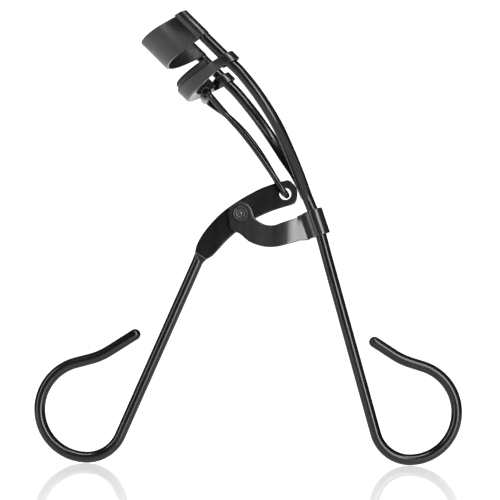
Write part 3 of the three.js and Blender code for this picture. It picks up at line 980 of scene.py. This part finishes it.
UPPER_ARC_RADIUS, UPPER_BULGE = 14.94, 9.1
ROLL_RADIUS, ROLL_TURN = 1.04, math.radians(305)
ARC_STEPS, ROLL_STEPS = 60, 44


def upper_jaw_half():
    """Half of the plan: the arc from the middle, then the roll that curls outward round the rod."""
    centre = UPPER_BULGE - UPPER_ARC_RADIUS
    rod_angle, rod_reach = math.atan2(ROD_SPREAD, -centre), math.hypot(ROD_SPREAD, centre)
    places = []
    for i in range(ARC_STEPS + 1):
        angle = rod_angle * i / ARC_STEPS
        # Over its outer half the arc eases to the near side of the rod, where the roll begins.
        reach = blend_numbers(UPPER_ARC_RADIUS, rod_reach - ROLL_RADIUS, (i / ARC_STEPS - 0.5) / 0.5)
        places.append((centre + reach * math.cos(angle), reach * math.sin(angle)))
    for i in range(1, ROLL_STEPS + 1):
        angle = rod_angle + math.pi - ROLL_TURN * i / ROLL_STEPS
        places.append((ROLL_RADIUS * math.cos(angle), ROD_SPREAD + ROLL_RADIUS * math.sin(angle)))
    return places


half = upper_jaw_half()
upper_jaw = band_piece("upper_jaw", [(x, -y) for x, y in half[:0:-1]] + half, {
    "Sheet Thickness": 0.78 * MM, "Foot": 1.4 * MM, "Height": 7.4 * MM, "Edge Radius": 0.24 * MM,
    "Rise": 0.27, "Flare": 0.10, "Material": sheet_coating})
print("upper jaw:", len(upper_jaw.data.vertices), "vertices")

# %% [markdown]
# Above the shoulder of each guide rod stands its thin, turned-down end, which the roll grips. It is
# a short pin with a chamfered top. It belongs to the rod, so it joins the rod's own mesh.

# %% The turned-down ends of the guide rods

# (radius, height above the rod's shoulder) from foot to top.
PIN_PROFILE, PIN_SIDES = [(0.62, 0.6), (0.62, 8.0), (0.56, 8.25), (0.4, 8.4)], 32


def rod_end_pin(side):
    rings = []
    for radius, height in PIN_PROFILE:
        rings.append([Vector((radius * math.cos(turn), -side * ROD_SPREAD + radius * math.sin(turn), height))
                      for turn in even_turns(PIN_SIDES)])
    shape = bmesh.new()
    skin(shape, rings)
    return finish_mesh("rod_end_pin", shape, wire_coating, matrix=head_frame)


def join(main, extra):
    shape = bmesh.new()
    shape.from_mesh(main.data)
    shape.from_mesh(extra.data)
    shape.to_mesh(main.data)
    shape.free()
    bpy.data.objects.remove(extra)


join(fixed_handle, rod_end_pin(-1))
join(far_guide_rod, rod_end_pin(1))
print("fixed handle with its pin:", len(fixed_handle.data.vertices), "vertices")

# %% [markdown]
# ## The lower jaw
#
# The lower jaw is a pressed channel, U-shaped in section, that holds the pad. Towards each end its
# inner wall runs out and the outer wall narrows to an arm. The arm passes outside the guide rod and
# curls round it as an eyelet, which slides along the rod. A loft can change its section as it goes,
# so one skin runs from eyelet to eyelet. First comes the section, as quarter turns and straights.

# %% The section of the channel

LIP_ROUNDNESS = 0.96
TROUGH_RADIUS, TROUGH_LEAST = 0.3, 0.02


def quarter(x, z, rx, rz, start, steps=5):
    """A quarter turn round (x, z), from the start angle in degrees."""
    angles = [math.radians(start + 90 * i / steps) for i in range(steps + 1)]
    return [(x + rx * math.cos(angle), z + rz * math.sin(angle)) for angle in angles]


def u_section(width, foot, outer_top, inner_top, wall, bend):
    """A U standing on its foot, as (outward offset from the outer face, height). Anticlockwise."""
    inner_top = max(inner_top, foot + bend)
    lip = wall / 2 * LIP_ROUNDNESS
    trough = min(TROUGH_RADIUS, max(TROUGH_LEAST, (width - 2 * wall) / 2.2))
    trough_top = foot + wall + trough
    points = quarter(-bend, foot + bend, bend, bend, -90)
    points += [(0, foot + bend + (outer_top - foot - bend) * 0.45)]
    points += quarter(-lip, outer_top - lip, lip, lip, 0)
    points += quarter(-wall + lip, outer_top - lip, lip, lip, 90)
    points += [(-wall, trough_top + 0.1)]
    points += quarter(-wall - trough, trough_top, trough, -trough, 0)
    points += quarter(-width + wall + trough, trough_top, trough, -trough, 90)
    points += [(-width + wall, min(inner_top - lip, trough_top + 0.1))]
    points += quarter(-width + wall - lip, inner_top - lip, lip, lip, 0)
    points += quarter(-width + lip, inner_top - lip, lip, lip, 90)
    points += quarter(-width + bend, foot + bend, bend, bend, 180)
    return points


print("a section has", len(u_section(3.3, -8, -5, -5, 0.4, 0.6)), "points")

# %% [markdown]
# Next come the places where the sections stand. Seen along the rods they follow the jaw's arc, swing
# out to pass the rod, and end in most of a circle round it. Each place also knows how far the channel
# has turned into an arm there, and how near it is to the bulge, where the belly hangs deepest.

# %% Where the sections stand

JAW_ARC_RADIUS, JAW_BULGE = 14.5, 9.9
ARC_CENTRE = Vector((JAW_BULGE - JAW_ARC_RADIUS, 0, 0))
ROD_ANGLE = math.atan2(ROD_SPREAD, -ARC_CENTRE.x)
ROD_REACH = math.hypot(ROD_SPREAD, ARC_CENTRE.x)
CHANNEL_OUTER = 1.65
ARM_START, ARM_END = math.radians(50.0), math.radians(61.5)
SWING_START, SWING_LENGTH = 0.8, 0.3
EYELET_OUTER, EYELET_TURN = 2.16, math.radians(285)
CHANNEL_STEPS, ARM_STEPS, EYELET_STEPS = 40, 5, 32


def on_plan(angle, reach, centre=ARC_CENTRE):
    """The place this far out from the centre, and the outward direction there."""
    outward = Vector((math.cos(angle), math.sin(angle), 0))
    return centre + outward * reach, outward


def channel_stations():
    """One half, from the middle to the eyelet's free end, as (place, outward, arm, bulge)."""
    past_rod = ROD_REACH + EYELET_OUTER
    stations = []
    for i in range(CHANNEL_STEPS + 1):
        angle = ARM_END * i / CHANNEL_STEPS
        reach = blend_numbers(JAW_ARC_RADIUS + CHANNEL_OUTER, past_rod, (angle - SWING_START) / SWING_LENGTH)
        arm = (angle - ARM_START) / (ARM_END - ARM_START)
        stations.append((*on_plan(angle, reach), arm, math.cos(angle) ** 2))
    for i in range(1, ARM_STEPS):
        angle = ARM_END + (ROD_ANGLE - ARM_END) * i / ARM_STEPS
        stations.append((*on_plan(angle, past_rod), 1.0, 0.0))
    rod_middle = on_plan(ROD_ANGLE, ROD_REACH)[0]
    for i in range(EYELET_STEPS + 1):
        angle = ROD_ANGLE + EYELET_TURN * i / EYELET_STEPS
        stations.append((*on_plan(angle, EYELET_OUTER, rod_middle), 1.0, 0.0))
    return stations


print("sections in one half:", len(channel_stations()))

# %% The skin from eyelet to eyelet

JAW_RISE = 0.27
CHANNEL_WALL, ARM_EXTRA_WALL = 0.4, 0.1
CHANNEL_FOOT, BELLY_DROP, ARM_FOOT = -7.15, 1.2, -7.45
CHANNEL_TOP, CROWN_RISE, ARM_TOP = -5.1, 0.35, -5.0
CHANNEL_BEND = 0.62


def channel_rings(side):
    """The sections of one half in the head frame. side is 1 or -1, for +y or -y."""
    rings = []
    for place, outward, arm, bulge in channel_stations():
        arm_share = blend_numbers(0, 1, arm)
        wall = CHANNEL_WALL + ARM_EXTRA_WALL * arm_share
        foot = blend_numbers(CHANNEL_FOOT - BELLY_DROP * bulge, ARM_FOOT, arm_share)
        outer_top = blend_numbers(CHANNEL_TOP + CROWN_RISE * bulge, ARM_TOP, arm_share)
        # The inner wall runs out a little before the trough does.
        inner_top = blend_numbers(outer_top, foot + 0.3, arm * 1.35)
        width = blend_numbers(2 * CHANNEL_OUTER, wall + 0.02, max(0.0, arm - 0.15) / 0.85)
        bend = blend_numbers(CHANNEL_BEND, wall / 2 * LIP_ROUNDNESS, arm_share)
        ring = []
        for offset, height in u_section(width, foot, outer_top, inner_top, wall, bend):
            spot = place + outward * offset
            ring.append(Vector((spot.x, side * spot.y, height + place.x * JAW_RISE)))
        rings.append(ring)
    return rings


jaw_shape = bmesh.new()
skin(jaw_shape, channel_rings(-1)[:0:-1] + channel_rings(1))
print("channel skin:", len(jaw_shape.verts), "vertices")

# %% [markdown]
# Under the middle of the channel a small barrel is rolled from the same sheet. The link's two ends
# are hooked into it, so it is the hinge of the link. A barrel is a tube with softened rims.

# %% The knuckle under the channel

KNUCKLE_OUT, KNUCKLE_UP, KNUCKLE_HALF = 7.6, -7.2, 4.5
KNUCKLE_RADIUS, KNUCKLE_BORE, KNUCKLE_RIM, KNUCKLE_SIDES = 1.3, 0.85, 0.15, 40


def tube(shape, place, outer, inner, half, rim, sides):
    """A tube along Y, with rims rounded by this much."""
    back = [(outer, half - rim), (outer - rim, half), (inner + rim, half), (inner, half - rim)]
    front = [(radius, -depth) for radius, depth in back[::-1]]
    rows = new_rows(shape, turned_rings(place, front + back, sides))
    join_rows(shape, rows + rows[:1])


tube(jaw_shape, Vector((KNUCKLE_OUT, 0, KNUCKLE_UP)), KNUCKLE_RADIUS, KNUCKLE_BORE, KNUCKLE_HALF,
     KNUCKLE_RIM, KNUCKLE_SIDES)
lower_jaw = finish_mesh("lower_jaw", jaw_shape, sheet_coating, sharp_degrees=50, matrix=head_frame)
print("lower jaw:", len(lower_jaw.data.vertices), "vertices")

# %% [markdown]
# ## The silicone pad
#
# The pad is moulded silicone, pushed into the channel and changed when it wears. It is rubber right
# through, not foam, so it is a plain solid with a round crown and round ends, as its mould was cut.

# %% Mould the pad

PAD_HALF, PAD_TOP, PAD_FOOT, PAD_END = 0.95, -3.1, -6.7, math.radians(60.0)
PAD_POWER, PAD_POINTS, PAD_END_DROP = 3.2, 40, 0.9
PAD_STEPS, END_STEPS = 60, 8


def pad_stations():
    """(angle along the jaw's arc, share of the full section): a round end, the body, a round end."""
    end_length = PAD_HALF / JAW_ARC_RADIUS
    body_end = PAD_END - end_length
    near_end = []
    for i in range(1, END_STEPS):
        turn = math.pi / 2 * i / END_STEPS
        near_end.append((-PAD_END + end_length * (1 - math.cos(turn)), math.sin(turn)))
    body = [(-body_end + 2 * body_end * i / PAD_STEPS, 1.0) for i in range(PAD_STEPS + 1)]
    return near_end + body + [(-angle, size) for angle, size in near_end[::-1]]


rings = []
for angle, size in pad_stations():
    middle, outward = on_plan(angle, JAW_ARC_RADIUS)
    top = PAD_TOP - (1 - size) * PAD_END_DROP
    ring = []
    for across, up in superellipse(PAD_HALF * size, (top - PAD_FOOT) / 2, PAD_POWER, even_turns(PAD_POINTS)):
        spot = middle + outward * across
        ring.append(Vector((spot.x, spot.y, (top + PAD_FOOT) / 2 + up + spot.x * JAW_RISE)))
    rings.append(ring)
shape = bmesh.new()
skin(shape, rings)
silicone_pad = finish_mesh("silicone_pad", shape, silicone, sharp_degrees=60, matrix=head_frame)
print("pad:", len(silicone_pad.data.vertices), "vertices")

# %% [markdown]
# ## The hairpin link
#
# The link is a thinner wire bent like a hairpin. Its bend hangs in the lever's hole, and its two ends
# spring into the barrel under the jaw. The legs start wide at the barrel, come in at a shoulder and
# bow towards the guide rods, which gives the lever room as it swings. As the tool rests, the bend
# hangs a little past the hole's middle, and one leg bows more than the other.

# %% Bend the link

LINK_RADIUS, LINK_SPREAD, LINK_WAIST, LINK_BEND = 0.7, 5.7, 2.3, 1.6
LINK_BOW = {-1: 0.95, 1: 1.9}
LINK_SLACK = 0.5
link_pin = head_frame @ Vector((KNUCKLE_OUT, 0, KNUCKLE_UP))
link_length = (LINK_HOLE - link_pin).length + LINK_SLACK
link_down = (LINK_HOLE - link_pin).normalized()
link_aside = Vector((-link_down.z, 0, link_down.x))


def link_place(across, below, bow=0.0):
    place = link_pin + link_down * below + link_aside * bow
    place.y = across
    return place


def link_leg(side):
    """One leg from its hook in the knuckle down to the start of the bend."""
    bow = LINK_BOW[side]
    bend_out = LINK_BEND * math.sqrt(0.5)
    places = [(2.8, 0, 0), (4.5, 0, 0), (LINK_SPREAD - 0.3, 0.3, 0.05), (LINK_SPREAD, 1.2, bow * 0.1),
              (LINK_SPREAD * 0.8, 3.2, bow * 0.3), (LINK_WAIST + 0.4, 6.5, bow * 0.65), (LINK_WAIST, 12, bow),
              (LINK_WAIST - 0.3, 18, bow * 0.9), (LINK_BEND, link_length - 5, bow * 0.35),
              (LINK_BEND, link_length - LINK_BEND, 0), (bend_out, link_length - LINK_BEND + bend_out, 0)]
    return [link_place(side * across, below, out) for across, below, out in places]


link_path = through([*link_leg(-1), link_place(0, link_length), *link_leg(1)[::-1]], 0.35)
hairpin_link = wire_piece("hairpin_link", link_path, LINK_RADIUS, sides=28)
print("link:", len(hairpin_link.data.vertices), "vertices")

# %% [markdown]
# ## Riding and the last checks
#
# Every piece is told which moving body it belongs to and which imported piece it stands for. Its row in the
# table also names the material slot its finish answers to, and that slot is only printed. The smallest margin
# between the sizes before and after is then printed, to show that the smooth pieces stay inside the imported
# ones.

# %% Hand the pieces to the frame

PIECES = [
    ("fixed_handle", fixed_handle, "frame", "coated_wire"),
    ("far_guide_rod", far_guide_rod, "frame", "coated_wire"),
    ("upper_jaw", upper_jaw, "frame", "coated_sheet"),
    ("pivot_bracket", pivot_bracket, "frame", "coated_sheet"),
    ("pivot_rivet", pivot_rivet, "frame", "rivet_metal"),
    ("lever_handle", lever_handle, "lever", "coated_wire"),
    ("lower_jaw", lower_jaw, "lower_jaw", "coated_sheet"),
    ("silicone_pad", silicone_pad, "lower_jaw", "silicone"),
    ("hairpin_link", hairpin_link, "link", "coated_wire"),
]
for node, piece, body, slot in PIECES:
    piece.name = node + "_look"
    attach(piece, body)
    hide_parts(node)
    print(f"{node}: {len(piece.data.polygons)} faces, rides {body}, slot {slot}")

# %% Sizes, then finish

look_low, look_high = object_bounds()
low_margin = min(look - cad for look, cad in zip(look_low, cad_low))
high_margin = min(cad - look for look, cad in zip(look_high, cad_high))
print("smallest margin to the packed box, mm:", round(min(low_margin, high_margin) / MM, 3))
